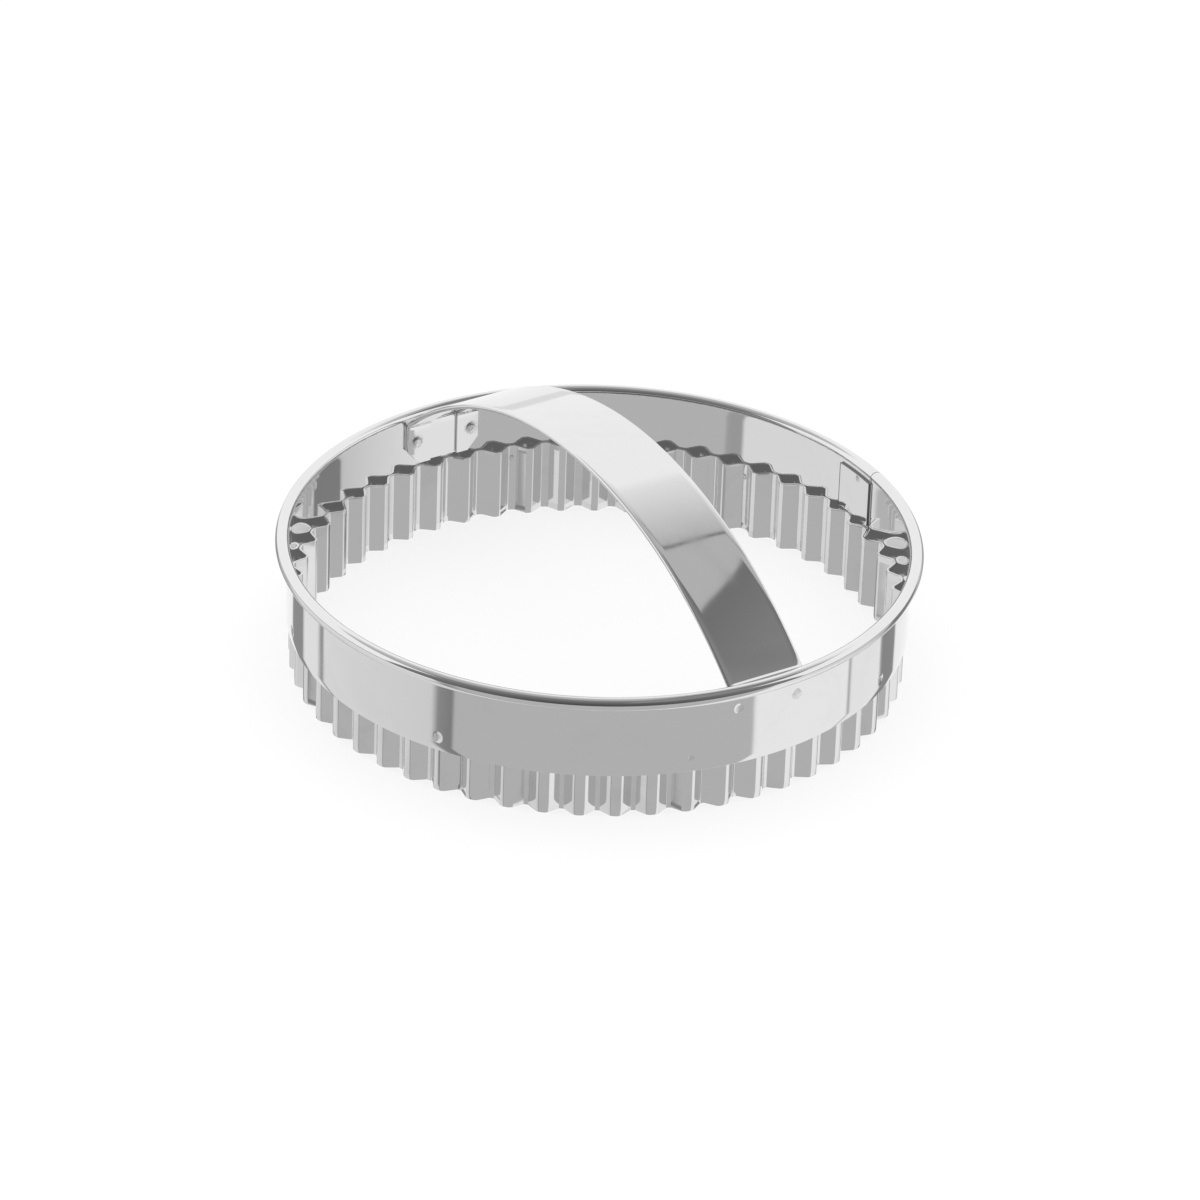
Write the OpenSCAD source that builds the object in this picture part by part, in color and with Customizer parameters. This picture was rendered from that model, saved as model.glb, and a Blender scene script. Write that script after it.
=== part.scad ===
// Round fluted biscuit cutter with an arched strap handle, made from thin polished sheet.
// The origin is on the ring's axis, in the plane of the cutting edge, and the handle runs along X.

/* [Ring] */
// Diameter over the crests of the fluted band, the size that it cuts
cutter_d = 105; // [94:1:125]
// Thickness of the sheet that every piece is made from
sheet_t = 0.4; // [0.3:0.05:0.5]
// Play between the crests of the fluted band and the collar
band_play = 0.05; // [0.03:0.01:0.1]

/* [Fluted band] */
// Number of flutes round the ring
flute_count = 54; // [46:1:60]
// Height of the fluted band
flute_h = 13; // [11:0.5:16]
// How far the flutes fold inward, from crest to inner ridge
flute_depth = 1.8; // [1.4:0.05:2.1]
// Width of the flat along each crest
flute_crest = 0.4; // [0.2:0.05:0.8]
// Width of the flat along each inner ridge
flute_ridge = 0.5; // [0.4:0.05:0.8]
// Bend radius in the middle of the sheet on each side of a crest
crest_bend_r = 1.2; // [0.9:0.05:1.4]
// Bend radius in the middle of the sheet on each side of a ridge
ridge_bend_r = 0.5; // [0.4:0.05:0.7]
// Where the first crest lies, in degrees round from the handle
flute_turn = -1.7; // [-3:0.1:3]
// Number of flutes that lap over each other at the seam
flute_lap = 1; // [1:1:2]
// Where the seam of the fluted band lies, as a flute number
flute_seam = 13; // [10:1:16]

/* [Collar] */
// Height of the collar's lower edge above the cutting edge
collar_z = 8; // [6.5:0.5:9]
// Height of the collar, from its lower edge to the top of the rolled rim
collar_h = 15.4; // [13.5:0.1:20]
// Outer diameter of the rolled rim's tube
rim_d = 2.4; // [2:0.1:3]
// How far round the sheet is curled into the rim, in degrees
rim_curl = 300; // [270:5:305]
// Length of the flap that laps inside the collar at its seam
collar_lap = 8.5; // [6:0.5:12]
// Where the collar's two ends meet, in degrees round from the handle
collar_seam = 85.5; // [70:0.5:110]
// Play between the flap and the collar's wall
seam_play = 0.05; // [0.03:0.01:0.1]
// Open line left where the collar's two ends meet
seam_line = 0.15; // [0.1:0.05:0.3]
// Length of the step that carries the flap inside the wall
seam_step = 0.8; // [0.6:0.1:2]
// Gap between the flutes and the flap
lap_clear = 0.3; // [0.2:0.1:1]
// How far the flap's top lies below the start of the curl
lap_drop = 0.6; // [0.4:0.1:1.5]

/* [Handle] */
// Width of the strap
strap_w = 14.6; // [12:0.2:18]
// Width of the hem folded under along each edge of the strap
hem_w = 4.6; // [3:0.1:5.2]
// Gap left inside each folded hem
hem_gap = 0.1; // [0.06:0.02:0.16]
// Height of the handle's top above the rim
handle_rise = 18.9; // [14:0.1:30]
// Bend radius over the outside of the strap where it turns down to its end
handle_bend_r = 2.5; // [2:0.1:4]
// How far the bend starts below the top of the rim
handle_drop = 2.6; // [2.2:0.1:3.5]
// Gap between the flutes and the upright ends of the strap
tab_clear = 1; // [0.5:0.1:1.5]
// Width of the corner cut off each end of the strap
tab_corner_w = 2.4; // [1.5:0.1:3]
// Height of the corner cut off each end of the strap
tab_corner_h = 2.7; // [1.5:0.1:3]

/* [Spot welds] */
// Diameter of the welds that hold the handle
weld_d = 1.6; // [1.2:0.1:2]
// Diameter of the welds through the crests of the flutes and at the collar's seam
crest_weld_d = 1.2; // [0.9:0.1:1.4]
// Depth of the dimple that each weld leaves outside
weld_dimple = 0.12; // [0.05:0.01:0.2]
// How far each weld stands proud inside
weld_proud = 0.1; // [0.05:0.01:0.2]
// Distance between the two welds at each end of the handle
handle_weld_gap = 11.2; // [8:0.1:12]
// How far the handle's welds lie below the top of the rim
handle_weld_drop = 5; // [4.5:0.1:5.5]
// Number of welds that join the fluted band to the collar
band_welds = 8; // [6:1:10]
// Crest that carries the first of those welds
band_weld_start = -2; // [-4:1:0]
// Distance from the line where the collar's ends meet to the weld of its seam
seam_weld_in = 3.2; // [2:0.1:5]
// Metal left between that weld and the flap's top edge
seam_weld_edge = 0.15; // [0.1:0.05:1]

/* [Hidden] */
$fn = 64;

sheet_colour = [0.80, 0.80, 0.81];
weld_colour = [0.62, 0.62, 0.63];
hair = 0.01;
past = 1;
bend_root = 0.1;

crest_r = cutter_d / 2;
wall_in = crest_r + band_play;
wall_out = wall_in + sheet_t;
rim_r = rim_d / 2;
rim_top = collar_z + collar_h;
rim_z = rim_top - rim_r;
ring_fn = 180;

flute_mid = crest_r - sheet_t / 2;
pitch = 360 / flute_count;
pitch_len = 2 * PI * flute_mid / flute_count;
lap_shift = sheet_t + band_play;
bend_steps = 3;

handle_top = rim_top + handle_rise;
edge_t = 2 * sheet_t + hem_gap;
fold_r = edge_t / 2;
tab_x = sqrt(pow(wall_in, 2) - pow(strap_w / 2 - fold_r, 2)) - band_play;
tab_top = rim_top - handle_drop;
tab_base = flute_h + tab_clear;
reach = tab_x - handle_bend_r;
arch_a = 2 * atan((handle_top - tab_top - handle_bend_r) / reach);
arch_r = reach / sin(arch_a) + handle_bend_r;
arch_z = handle_top - arch_r;
bend_root_a = bend_root / handle_bend_r * 180 / PI;

weld_z = rim_top - handle_weld_drop;
band_weld_z = (collar_z + flute_h) / 2;
lap_a = collar_lap / wall_in * 180 / PI;
seam_line_a = seam_line / wall_in * 180 / PI;
step_a = seam_step / wall_in * 180 / PI;
seam_weld_a = seam_weld_in / wall_in * 180 / PI;
lap_out = wall_in - seam_play;
lap_in = lap_out - sheet_t;
lap_base = flute_h + lap_clear;
lap_top = rim_z - lap_drop;

// Half a flute as [along, out, leaning] from the middle of a crest to the middle of a ridge.
// The straight side touches both bends, which sets how steeply it leans.
function half_flute() =
    let (r = crest_bend_r, q = ridge_bend_r,
        along = (pitch_len - flute_crest - flute_ridge) / 2,
        drop = flute_depth - r - q,
        side = sqrt(along * along + drop * drop - (r + q) * (r + q)),
        a = atan2(drop, along) + atan2(r + q, side))
    concat(
        [for (i = [0 : bend_steps]) let (b = a * i / bend_steps)
            [flute_crest / 2 + r * sin(b), -r * (1 - cos(b)), b]],
        [for (i = [bend_steps : -1 : 0]) let (b = a * i / bend_steps)
            [pitch_len / 2 - flute_ridge / 2 - q * sin(b), q * (1 - cos(b)) - flute_depth, b]]);

// A whole flute, from the ridge before it to the ridge after it
function whole_flute() =
    let (h = half_flute(), n = len(h))
    concat([for (i = [n - 1 : -1 : 0]) [-h[i][0], h[i][1], -h[i][2]]], h);

// Inward shift of the sheet at a place along flute k. It grows down the last side before the seam,
// so that the strip's end laps inside its start.
function shift_at(k, along) =
    let (from = flute_crest / 2, to = (pitch_len - flute_ridge) / 2)
    k < flute_count - 1 ? 0 : k >= flute_count ? lap_shift
        : lap_shift * min(1, max(0, (along - from) / (to - from)));

// One face of the fluted strip, at the given distance outward from the middle of the sheet
function strip_face(out) =
    [for (k = [0 : flute_count + flute_lap - 1]) for (p = whole_flute())
        let (d = out - shift_at(k, p[0]),
            along = p[0] + d * sin(p[2]),
            r = flute_mid + p[1] + d * cos(p[2]),
            turn = flute_turn + (flute_seam + k) * pitch + along / flute_mid * 180 / PI)
        [r * cos(turn), r * sin(turn)]];

function reversed(v) = [for (i = [len(v) - 1 : -1 : 0]) v[i]];

module radial_pin(turn, z, d, from_r, to_r) {
    rotate([0, 0, turn])
        translate([from_r, 0, z])
            rotate([0, 90, 0])
                cylinder(d = d, h = to_r - from_r, $fn = 32);
}

module handle_pins(d, from_x, to_x) {
    for (end = [0, 180], side = [-1, 1])
        rotate([0, 0, end])
            translate([from_x, side * handle_weld_gap / 2, weld_z])
                rotate([0, 90, 0])
                    cylinder(d = d, h = to_x - from_x, $fn = 32);
}

module seam_pin(d, from_r, to_r) {
    radial_pin(collar_seam + seam_weld_a, lap_top - seam_weld_edge - crest_weld_d / 2,
        d, from_r, to_r);
}

module band_pins(d, from_r, to_r) {
    for (i = [0 : band_welds - 1])
        radial_pin(flute_turn + round(band_weld_start + i * flute_count / band_welds) * pitch,
            band_weld_z, d, from_r, to_r);
}

module flute_seam_pins(d, from_r, to_r) {
    for (z = [0.2 * flute_h, 0.5 * flute_h])
        radial_pin(flute_turn + flute_seam * pitch, z, d, from_r, to_r);
}

// The collar's wall with its rim curled outward over the top
module collar_section() {
    translate([wall_in, collar_z])
        square([sheet_t, rim_z - collar_z]);
    translate([wall_in + rim_r, rim_z])
        difference() {
            circle(r = rim_r);
            circle(r = rim_r - sheet_t);
            polygon([[0, 0], [-3 * rim_r, 0], [-3 * rim_r, -3 * rim_r],
                3 * rim_r * [cos(180 - rim_curl), sin(180 - rim_curl)]]);
        }
}

module collar_band() {
    color(sheet_colour)
        difference() {
            union() {
                rotate([0, 0, collar_seam])
                    rotate_extrude(angle = 360 - seam_line_a, $fn = ring_fn)
                        collar_section();
                rotate([0, 0, collar_seam - 2 * seam_line_a - step_a])
                    rotate_extrude(angle = step_a, $fn = ring_fn)
                        translate([lap_out - sheet_t / 2, lap_base + hair])
                            square([sheet_t + seam_play, lap_top - lap_base - 2 * hair]);
                rotate([0, 0, collar_seam - 2 * seam_line_a - step_a / 2])
                    rotate_extrude(angle = lap_a + 2 * seam_line_a + step_a / 2, $fn = ring_fn)
                        translate([lap_in, lap_base])
                            square([sheet_t, lap_top - lap_base]);
            }
            handle_pins(weld_d, tab_x - past, wall_out + past);
            seam_pin(crest_weld_d, lap_in - past, wall_out + seam_play);
            band_pins(crest_weld_d, wall_in - past, wall_out + past);
        }
}

module fluted_band() {
    color(sheet_colour)
        difference() {
            linear_extrude(flute_h)
                polygon(concat(strip_face(sheet_t / 2), reversed(strip_face(-sheet_t / 2))));
            band_pins(crest_weld_d, crest_r - sheet_t - 2 * past, wall_out);
            flute_seam_pins(crest_weld_d, crest_r - 2 * lap_shift - past, wall_out);
        }
}

// One long edge of the strap, folded under and pressed back against its face
module hem(inset) {
    translate([strap_w / 2 - hem_w + inset, inset - edge_t])
        square([hem_w - fold_r - inset, sheet_t - 2 * inset]);
    translate([strap_w / 2 - fold_r, -fold_r])
        difference() {
            circle(r = fold_r - inset);
            circle(r = hem_gap / 2 + inset);
            translate([-edge_t, -edge_t])
                square([edge_t, 2 * edge_t]);
        }
}

// Across the strap: a flat outer face with a hem along both long edges
module strap_section(inset = 0) {
    translate([fold_r - strap_w / 2, inset - sheet_t])
        square([strap_w - edge_t, sheet_t - 2 * inset]);
    hem(inset);
    mirror([1, 0])
        hem(inset);
}

// Sweeps the strap through an angle about an axis along Y, its outer face at the given radius
module strap_turn(radius, from_a, sweep_a, inset = 0) {
    rotate([90, 0, 0])
        rotate([0, 0, from_a])
            rotate_extrude(angle = sweep_a, $fn = ring_fn)
                rotate([0, 0, -90])
                    translate([0, radius])
                        strap_section(inset);
}

// One end of the strap: the bend that runs just inside the arch, and the upright tab below it
module strap_end() {
    difference() {
        union() {
            translate([reach, 0, tab_top])
                strap_turn(handle_bend_r, 0, 90 - arch_a + bend_root_a, hair);
            translate([tab_x, 0, tab_base])
                linear_extrude(tab_top - tab_base)
                    rotate([0, 0, -90])
                        strap_section(hair);
        }
        for (edge = [0, 1])
            mirror([0, edge, 0])
                translate([tab_x - past, strap_w / 2, tab_base])
                    rotate([90, 0, 90])
                        linear_extrude(2 * past)
                            polygon([[past, -past], [past, tab_corner_h], [0, tab_corner_h],
                                [-tab_corner_w, 0], [-tab_corner_w, -past]]);
    }
}

module handle_strap() {
    color(sheet_colour)
        difference() {
            union() {
                translate([0, 0, arch_z])
                    strap_turn(arch_r, 90 - arch_a, 2 * arch_a);
                strap_end();
                rotate([0, 0, 180])
                    strap_end();
            }
            handle_pins(weld_d, tab_x - past - edge_t, wall_out + past);
        }
}

module handle_spot_welds() {
    color(weld_colour)
        handle_pins(weld_d - 2 * hair, tab_x - edge_t - weld_proud, wall_out - weld_dimple);
}

module collar_seam_welds() {
    color(weld_colour)
        seam_pin(crest_weld_d - 2 * hair, lap_in - weld_proud, wall_out - weld_dimple);
}

module fluted_seam_welds() {
    color(weld_colour)
        flute_seam_pins(crest_weld_d - 2 * hair, crest_r - sheet_t - lap_shift - weld_proud,
            crest_r - weld_dimple);
}

module band_spot_welds() {
    color(weld_colour)
        band_pins(crest_weld_d - 2 * hair, crest_r - sheet_t - weld_proud,
            wall_out - weld_dimple);
}

collar_band();
fluted_band();
handle_strap();
handle_spot_welds();
collar_seam_welds();
fluted_seam_welds();
band_spot_welds();
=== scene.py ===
import math

import bmesh
import bpy
from mathutils import Matrix, Vector


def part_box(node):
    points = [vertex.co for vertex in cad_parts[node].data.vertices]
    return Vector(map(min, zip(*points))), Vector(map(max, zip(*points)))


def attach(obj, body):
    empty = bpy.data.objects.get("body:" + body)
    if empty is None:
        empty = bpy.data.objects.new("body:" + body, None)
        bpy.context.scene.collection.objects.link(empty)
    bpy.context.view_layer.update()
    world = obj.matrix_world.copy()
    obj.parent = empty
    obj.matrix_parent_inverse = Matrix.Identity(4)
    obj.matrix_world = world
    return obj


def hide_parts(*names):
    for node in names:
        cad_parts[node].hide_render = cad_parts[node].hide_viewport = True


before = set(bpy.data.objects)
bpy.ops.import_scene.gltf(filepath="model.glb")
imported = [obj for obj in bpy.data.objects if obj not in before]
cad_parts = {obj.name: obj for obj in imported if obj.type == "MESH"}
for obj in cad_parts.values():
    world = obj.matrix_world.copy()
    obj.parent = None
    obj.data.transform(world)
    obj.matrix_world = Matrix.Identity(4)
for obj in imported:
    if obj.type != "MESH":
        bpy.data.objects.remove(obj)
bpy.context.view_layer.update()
print("frame loaded:", len(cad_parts), "nodes")

mm = 0.001
ringCentre = (0, 0, 0)
upAxis = (0, 0, 1)

# lengths are in millimetres and angles in degrees, but the looks of the metals and the floor's sizes
# are in metres
collarLow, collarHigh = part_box("collar_band")
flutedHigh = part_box("fluted_band")[1]
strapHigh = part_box("handle_strap")[1]

sheet = {"thick": 0.4, "play": 0.05, "edgeRound": 0.08, "edgeSteps": 3}
tiny = 0.001                    # outline points closer than this are one
sameSpot = 0.0005               # and so are the points of a finished mesh
crestRadius = 52.5
fluteCount = 54
wallIn = crestRadius + sheet["play"]
wallOut = wallIn + sheet["thick"]
rimTop = collarHigh.z / mm


# the pen is the last vertex of a line drawn in the X-Z plane
def startPen(bm, x, z):
    return bmesh.ops.create_vert(bm, co=(x, 0, z))["vert"][0]


def lineTo(bm, pen, x, z, parts=1):
    step = (Vector((x, 0, z)) - pen.co) / parts
    for _ in range(parts):
        pen = bmesh.ops.extrude_vert_indiv(bm, verts=[pen])["verts"][0]
        bmesh.ops.translate(bm, verts=[pen], vec=step)
    return pen


# a positive angle turns from X towards Z
def arcAbout(bm, pen, x, z, degrees, parts):
    made = bmesh.ops.spin(
        bm, geom=[pen], cent=(x, 0, z), axis=(0, -1, 0), angle=math.radians(degrees),
        steps=parts, use_merge=False, use_duplicate=False)
    return [part for part in made["geom_last"] if isinstance(part, bmesh.types.BMVert)][0]


def roundEdge(bm, pen, x, z):
    return arcAbout(bm, pen, x, z, -90, sheet["edgeSteps"])


def closeOutline(bm):
    bmesh.ops.remove_doubles(bm, verts=bm.verts[:], dist=tiny)


def turnRound(bm, degrees):
    turn = Matrix.Rotation(math.radians(degrees), 3, "Z")
    bmesh.ops.rotate(bm, verts=bm.verts[:], cent=ringCentre, matrix=turn)


def sweep(bm, outline, centre, axis, degrees, steps):
    made = bmesh.ops.spin(
        bm, geom=outline, cent=centre, axis=axis, angle=math.radians(degrees),
        steps=steps, use_merge=False, use_duplicate=False)
    return made["geom_last"]


def onlyEdges(parts):
    return [part for part in parts if isinstance(part, bmesh.types.BMEdge)]


def onlyVerts(parts):
    return [part for part in parts if isinstance(part, bmesh.types.BMVert)]


def capEnd(bm, parts):
    bmesh.ops.contextual_create(bm, geom=onlyEdges(parts))


# pulls level edges up or down in rows, and gives back the last row
def pullEdges(bm, edges, lift, rows):
    for _ in range(rows):
        made = bmesh.ops.extrude_edge_only(bm, edges=edges)["geom"]
        bmesh.ops.translate(bm, verts=onlyVerts(made), vec=(0, 0, lift / rows))
        edges = onlyEdges(made)
        edges = [edge for edge in edges if abs(edge.verts[0].co.z - edge.verts[1].co.z) < tiny]
    return edges


def smoothStep(x):
    x = min(max(x, 0), 1)
    return x * x * (3 - 2 * x)


def turnOf(vert):
    return math.degrees(math.atan2(vert.co.y, vert.co.x))


def pushOut(vert, distance):
    flat = Vector((vert.co.x, vert.co.y, 0))
    vert.co += flat.normalized() * distance


# a finished piece: closed, facing outwards, smooth apart from its sharp edges, in metres
def finishPiece(bm, name, material, nodes, sharp=40):
    bmesh.ops.remove_doubles(bm, verts=bm.verts[:], dist=sameSpot)
    bmesh.ops.recalc_face_normals(bm, faces=bm.faces[:])
    for face in bm.faces:
        face.smooth = True
    for edge in bm.edges:
        edge.smooth = len(edge.link_faces) == 2 and edge.calc_face_angle() < math.radians(sharp)
    openEdges = sum(len(edge.link_faces) != 2 for edge in bm.edges)
    bmesh.ops.scale(bm, vec=(mm, mm, mm), verts=bm.verts[:])
    mesh = bpy.data.meshes.new(name)
    bm.to_mesh(mesh)
    bm.free()
    mesh.materials.append(material)
    piece = bpy.data.objects.new(name, mesh)
    bpy.context.scene.collection.objects.link(piece)
    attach(piece, "root")
    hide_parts(*nodes)
    mesh.calc_loop_triangles()
    print(name, "made:", len(mesh.loop_triangles), "triangles,", openEdges, "open edges")


# shader helpers
def addNode(tree, kind, settings=None, **inputs):
    made = tree.nodes.new(kind)
    for name, value in (settings or {}).items():
        setattr(made, name, value)
    for name, value in inputs.items():
        made.inputs[name].default_value = value
    return made


def tie(tree, value, socket):
    if isinstance(value, bpy.types.NodeSocket):
        tree.links.new(value, socket)
    else:
        socket.default_value = value


def calc(tree, operation, first, second=0.0):
    made = addNode(tree, "ShaderNodeMath", {"operation": operation})
    tie(tree, first, made.inputs[0])
    tie(tree, second, made.inputs[1])
    return made.outputs[0]


def vectorCalc(tree, operation, first, second=(0, 0, 0)):
    made = addNode(tree, "ShaderNodeVectorMath", {"operation": operation})
    tie(tree, first, made.inputs[0])
    tie(tree, second, made.inputs[1])
    return [socket for socket in made.outputs if socket.enabled][0]


# 0 below one value, 1 above the other, smooth between
def rise(tree, value, low, high):
    made = addNode(tree, "ShaderNodeMapRange", {"interpolation_type": "SMOOTHSTEP"})
    made.inputs["From Min"].default_value = low
    made.inputs["From Max"].default_value = high
    tree.links.new(value, made.inputs["Value"])
    return made.outputs["Result"]


def mixValues(tree, factor, low, high):
    mix = addNode(tree, "ShaderNodeMapRange")
    tree.links.new(factor, mix.inputs["Value"])
    tree.links.new(low, mix.inputs["To Min"])
    tree.links.new(high, mix.inputs["To Max"])
    return mix.outputs["Result"]


def newGroup(name, inputs, outputs):
    group = bpy.data.node_groups.new(name, "ShaderNodeTree")
    for label, kind, value in inputs:
        socket = group.interface.new_socket(label, in_out="INPUT", socket_type=kind)
        if value is not None:
            socket.default_value = value
    for label, kind in outputs:
        group.interface.new_socket(label, in_out="OUTPUT", socket_type=kind)
    return group, group.nodes.new("NodeGroupInput"), group.nodes.new("NodeGroupOutput")


# the fine lines that rolling leaves along the sheet, with the long soft waves of thin metal
def rolledGrainGroup():
    group, entry, leave = newGroup(
        "rolledGrain",
        [("Vector", "NodeSocketVector", None), ("Lines", "NodeSocketFloat", 40.0),
         ("Line Depth", "NodeSocketFloat", 0.02), ("Waves", "NodeSocketFloat", 60.0),
         ("Wave Depth", "NodeSocketFloat", 1.0)],
        [("Grain", "NodeSocketFloat"), ("Height", "NodeSocketFloat")])
    links = group.links
    lines = addNode(group, "ShaderNodeTexNoise", Detail=3.0, Roughness=0.6)
    links.new(entry.outputs["Vector"], lines.inputs["Vector"])
    links.new(entry.outputs["Lines"], lines.inputs["Scale"])
    place = addNode(group, "ShaderNodeTexCoord")
    waves = addNode(group, "ShaderNodeTexNoise", Detail=1.0, Roughness=0.35)
    links.new(place.outputs["Object"], waves.inputs["Vector"])
    links.new(entry.outputs["Waves"], waves.inputs["Scale"])
    lineHeight = addNode(group, "ShaderNodeMath", {"operation": "MULTIPLY"})
    links.new(lines.outputs["Fac"], lineHeight.inputs[0])
    links.new(entry.outputs["Line Depth"], lineHeight.inputs[1])
    height = addNode(group, "ShaderNodeMath", {"operation": "MULTIPLY_ADD"})
    links.new(waves.outputs["Fac"], height.inputs[0])
    links.new(entry.outputs["Wave Depth"], height.inputs[1])
    links.new(lineHeight.outputs[0], height.inputs[2])
    links.new(lines.outputs["Fac"], leave.inputs["Grain"])
    links.new(height.outputs[0], leave.inputs["Height"])
    return group


# smears from handling: they dull the shine a little and grey the metal
def smearGroup():
    group, entry, leave = newGroup(
        "smears",
        [("Size", "NodeSocketFloat", 80.0), ("Amount", "NodeSocketFloat", 0.5),
         ("Clean Roughness", "NodeSocketFloat", 0.06), ("Smeared Roughness", "NodeSocketFloat", 0.16),
         ("Clean", "NodeSocketColor", (0.8, 0.8, 0.8, 1)), ("Smeared", "NodeSocketColor", (0.7, 0.7, 0.7, 1)),
         ("Grain", "NodeSocketFloat", 0.5)],
        [("Color", "NodeSocketColor"), ("Roughness", "NodeSocketFloat"), ("Mask", "NodeSocketFloat")])
    links = group.links
    place = addNode(group, "ShaderNodeTexCoord")
    cloud = addNode(group, "ShaderNodeTexNoise", Detail=5.0, Roughness=0.62, Distortion=0.8)
    links.new(place.outputs["Object"], cloud.inputs["Vector"])
    links.new(entry.outputs["Size"], cloud.inputs["Scale"])
    patch = addNode(group, "ShaderNodeMapRange", {"interpolation_type": "SMOOTHSTEP"})
    patch.inputs["From Min"].default_value = 0.5
    patch.inputs["From Max"].default_value = 0.72
    links.new(cloud.outputs["Fac"], patch.inputs["Value"])
    mask = addNode(group, "ShaderNodeMath", {"operation": "MULTIPLY", "use_clamp": True})
    links.new(patch.outputs["Result"], mask.inputs[0])
    links.new(entry.outputs["Amount"], mask.inputs[1])
    lined = addNode(group, "ShaderNodeMath", {"operation": "MULTIPLY_ADD", "use_clamp": True})
    lined.inputs[1].default_value = 0.35
    links.new(entry.outputs["Grain"], lined.inputs[0])
    links.new(mask.outputs[0], lined.inputs[2])
    tone = addNode(group, "ShaderNodeMix", {"data_type": "RGBA"})
    links.new(lined.outputs[0], tone.inputs["Factor"])
    links.new(entry.outputs["Clean"], tone.inputs[6])
    links.new(entry.outputs["Smeared"], tone.inputs[7])
    links.new(tone.outputs[2], leave.inputs["Color"])
    rough = mixValues(group, lined.outputs[0], entry.outputs["Clean Roughness"],
                      entry.outputs["Smeared Roughness"])
    links.new(rough, leave.inputs["Roughness"])
    links.new(mask.outputs[0], leave.inputs["Mask"])
    return group


rolledGrain = rolledGrainGroup()
smears = smearGroup()


def placeGroup(tree, group, values):
    made = tree.nodes.new("ShaderNodeGroup")
    made.node_tree = group
    for name, value in values.items():
        made.inputs[name].default_value = value
    return made


# the speckled stain that welding leaves round a mark, at the same place in each quarter
def heatMarkGroup():
    group, entry, leave = newGroup(
        "heatMarks",
        [("Place", "NodeSocketVector", None), ("Reach", "NodeSocketFloat", 0.0014),
         ("Color", "NodeSocketColor", None), ("Stain", "NodeSocketColor", (0.4, 0.4, 0.4, 1)),
         ("Roughness", "NodeSocketFloat", 0.1), ("Rough", "NodeSocketFloat", 0.4),
         ("Height", "NodeSocketFloat", 0.0)],
        [("Color", "NodeSocketColor"), ("Roughness", "NodeSocketFloat"), ("Height", "NodeSocketFloat")])
    links = group.links
    place = addNode(group, "ShaderNodeTexCoord")
    folded = addNode(group, "ShaderNodeVectorMath", {"operation": "ABSOLUTE"})
    links.new(place.outputs["Object"], folded.inputs[0])
    away = addNode(group, "ShaderNodeVectorMath", {"operation": "DISTANCE"})
    links.new(folded.outputs[0], away.inputs[0])
    links.new(entry.outputs["Place"], away.inputs[1])
    share = addNode(group, "ShaderNodeMath", {"operation": "DIVIDE"})
    links.new(away.outputs["Value"], share.inputs[0])
    links.new(entry.outputs["Reach"], share.inputs[1])
    speckle = addNode(group, "ShaderNodeTexNoise", Scale=1900.0, Detail=4.0, Roughness=0.7)
    links.new(place.outputs["Object"], speckle.inputs["Vector"])
    ragged = addNode(group, "ShaderNodeMath", {"operation": "ADD"})
    links.new(share.outputs[0], ragged.inputs[0])
    links.new(speckle.outputs["Fac"], ragged.inputs[1])
    mask = addNode(group, "ShaderNodeMapRange", {"interpolation_type": "SMOOTHSTEP"})
    for name, value in (("From Min", 0.8), ("From Max", 1.45), ("To Min", 1.0), ("To Max", 0.0)):
        mask.inputs[name].default_value = value
    links.new(ragged.outputs[0], mask.inputs["Value"])
    stained = addNode(group, "ShaderNodeMix", {"data_type": "RGBA"})
    links.new(mask.outputs["Result"], stained.inputs["Factor"])
    links.new(entry.outputs["Color"], stained.inputs[6])
    links.new(entry.outputs["Stain"], stained.inputs[7])
    links.new(stained.outputs[2], leave.inputs["Color"])
    rough = mixValues(group, mask.outputs["Result"], entry.outputs["Roughness"], entry.outputs["Rough"])
    links.new(rough, leave.inputs["Roughness"])
    pits = addNode(group, "ShaderNodeMath", {"operation": "MULTIPLY"})
    links.new(mask.outputs["Result"], pits.inputs[0])
    links.new(speckle.outputs["Fac"], pits.inputs[1])
    height = addNode(group, "ShaderNodeMath", {"operation": "MULTIPLY_ADD"})
    height.inputs[1].default_value = 0.6
    links.new(pits.outputs[0], height.inputs[0])
    links.new(entry.outputs["Height"], height.inputs[2])
    links.new(height.outputs[0], leave.inputs["Height"])
    return group


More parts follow.
